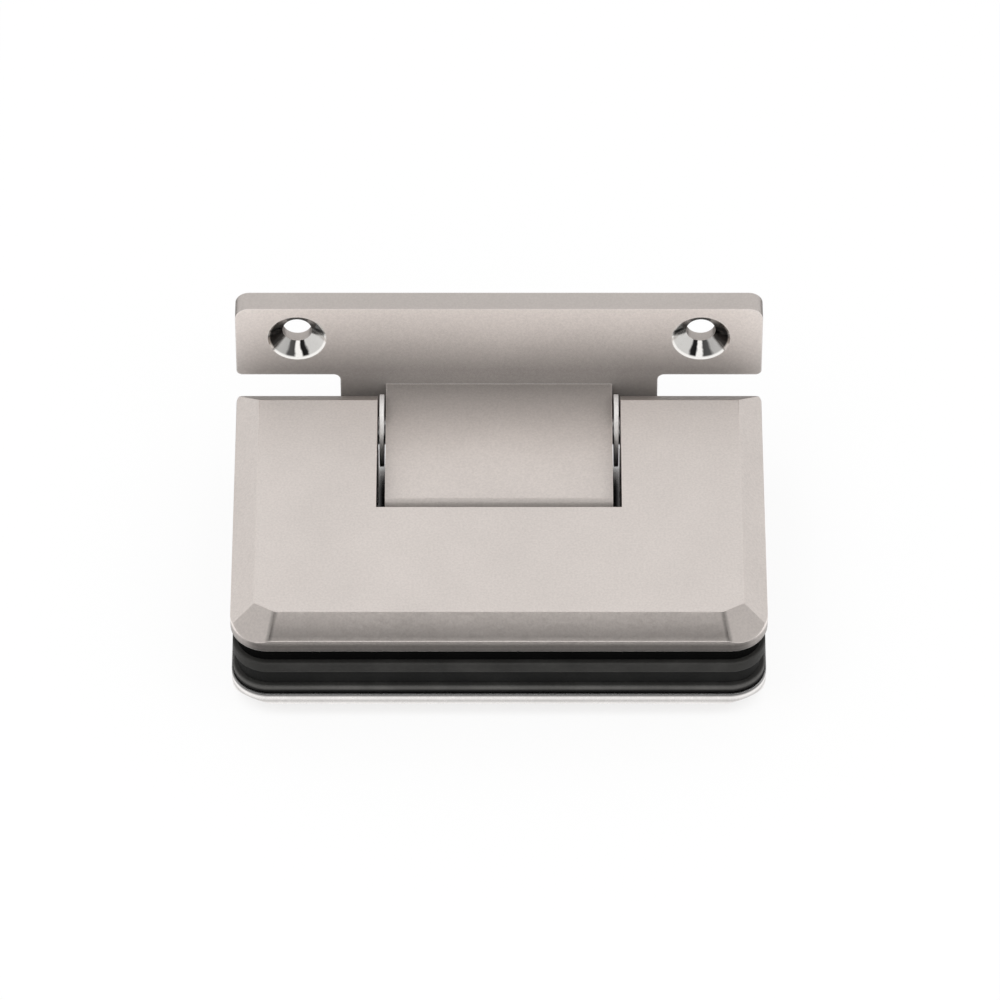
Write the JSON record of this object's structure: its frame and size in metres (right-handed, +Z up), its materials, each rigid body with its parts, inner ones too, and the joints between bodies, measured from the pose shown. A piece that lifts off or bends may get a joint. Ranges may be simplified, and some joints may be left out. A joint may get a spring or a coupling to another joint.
{
  "type": "transom clamp",
  "caption": "Hinged glass clamp for a transom panel: bevelled clamp plates with gaskets swing on a friction pivot from a flat wall plate with countersunk screw holes.",
  "frame": {"origin": "midway between the two wall screw holes, on the wall face of the wall plate", "axes": "+X along the pivot, +Y into the wall, +Z up out of the clamp's front face; the part lies on its back plate"},
  "size_m": [0.09, 0.0644, 0.0369],
  "materials": {
    "nickel": "satin nickel plate on cast brass",
    "steel": "bright turned stainless steel",
    "rubber": "matt black sheet",
    "bronze": "plain machined bronze"
  },
  "bodies": {
    "wall_bracket": {"wall_plate": "nickel", "friction_shoe_left": "bronze", "friction_shoe_right": "bronze", "disc_springs_left": "steel", "disc_springs_right": "steel", "tension_screw_left": "steel", "tension_screw_right": "steel"},
    "clamp_front": {"front_plate": "nickel", "pivot_pin_left": "steel", "pivot_pin_right": "steel", "thrust_washer_left": "steel", "thrust_washer_right": "steel", "pin_lock_screw_left": "steel", "pin_lock_screw_right": "steel", "front_gasket": "rubber", "front_spacer_gasket": "rubber"},
    "clamp_back": {"back_plate": "nickel", "rear_spacer_gasket": "rubber", "rear_gasket": "rubber", "clamp_screw_left": "steel", "clamp_screw_right": "steel"}
  },
  "joints": [
    {"name": "clamp_swing", "type": "hinge", "parent": "wall_bracket", "child": "clamp_front", "pos_m": [0, -0.0111, -0.0151], "axis": [-1, 0, 0], "range_deg": [-10, 90]},
    {"name": "jaw_opening", "type": "slide", "parent": "clamp_front", "child": "clamp_back", "axis": [0, 0, -1], "range_m": [0, 0.004]}
  ]
}
